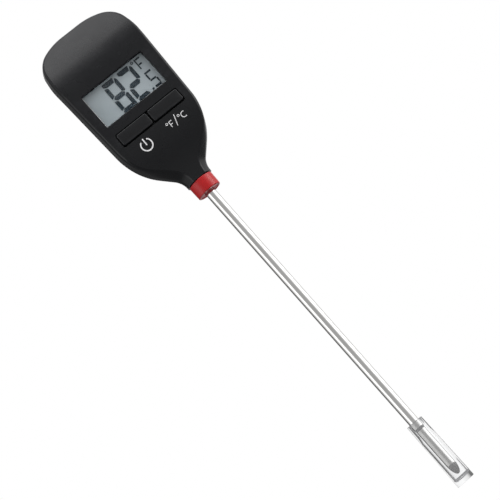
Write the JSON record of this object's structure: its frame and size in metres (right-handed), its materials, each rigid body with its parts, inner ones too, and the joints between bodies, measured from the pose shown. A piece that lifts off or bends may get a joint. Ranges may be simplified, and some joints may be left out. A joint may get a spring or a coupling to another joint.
{
  "type": "soil thermometer probe",
  "caption": "Digital soil thermometer: flat black head with display and two keys, red neck collar, long steel stem and clear tip sleeve.",
  "frame": {"origin": "on the stem's axis, at the lower end face of the neck collar", "axes": "+Z along the stem towards the head, -Y out of the display face, +X to the viewer's right"},
  "size_m": [0.0384, 0.0157, 0.2126],
  "materials": {
    "shell_plastic": "satin black moulded plastic",
    "key_plastic": "satin black moulded plastic",
    "clear_plastic": "clear moulded plastic",
    "display_glass": "grey-green liquid crystal cell",
    "reflector_film": "grey reflector film",
    "frame_plastic": "white moulded plastic",
    "rubber": "black rubber",
    "board_laminate": "green solder mask on laminate",
    "resin": "black resin",
    "stainless_steel": "polished stainless steel",
    "nickel": "nickel-plated steel",
    "lead_insulation": "red wire insulation",
    "collar_plastic": "satin red moulded plastic",
    "bead_glass": "glass bead",
    "tube_plastic": "white insulating tube"
  },
  "bodies": {
    "root": {"front_shell": "shell_plastic", "rear_shell": "shell_plastic", "window_lens": "clear_plastic", "lcd_front_glass": "display_glass", "lcd_rear_glass": "display_glass", "lcd_reflector": "reflector_film", "lcd_holder": "frame_plastic", "display_connector": "rubber", "circuit_board": "board_laminate", "chip_blob": "resin", "power_switch": "resin", "unit_switch": "resin", "battery_cell": "nickel", "battery_holder": "frame_plastic", "battery_contact_negative": "nickel", "battery_contact_positive": "nickel", "battery_cover_gasket": "rubber", "case_screw_upper_left": "nickel", "case_screw_upper_right": "nickel", "case_screw_lower_left": "nickel", "case_screw_lower_right": "nickel", "neck_collar": "collar_plastic", "stem_flange": "nickel", "stem_seal": "rubber", "stem_tube": "stainless_steel", "thermistor_bead": "bead_glass", "sensor_lead_left": "lead_insulation", "sensor_lead_right": "lead_insulation", "lead_insulator": "tube_plastic"},
    "power_key": {"power_button": "key_plastic", "power_switch_plunger": "frame_plastic"},
    "unit_key": {"unit_button": "key_plastic", "unit_switch_plunger": "frame_plastic"},
    "cover": {"battery_cover": "shell_plastic"},
    "sleeve": {"tip_sleeve": "clear_plastic"}
  },
  "joints": [
    {"name": "power_press", "type": "slide", "parent": "root", "child": "power_key", "axis": [0, 1, 0], "range_m": [0, 0.0005], "stiffness_N_per_m": 400, "springref_m": -0.001},
    {"name": "unit_press", "type": "slide", "parent": "root", "child": "unit_key", "axis": [0, 1, 0], "range_m": [0, 0.0005], "stiffness_N_per_m": 400, "springref_m": -0.001},
    {"name": "cover_turn", "type": "hinge", "parent": "root", "child": "cover", "pos_m": [0, 0.006, 0.046], "axis": [0, 1, 0], "range_deg": [0, 50]},
    {"name": "sleeve_slide", "type": "slide", "parent": "root", "child": "sleeve", "axis": [0, 0, -1], "range_m": [0, 0.028]}
  ]
}
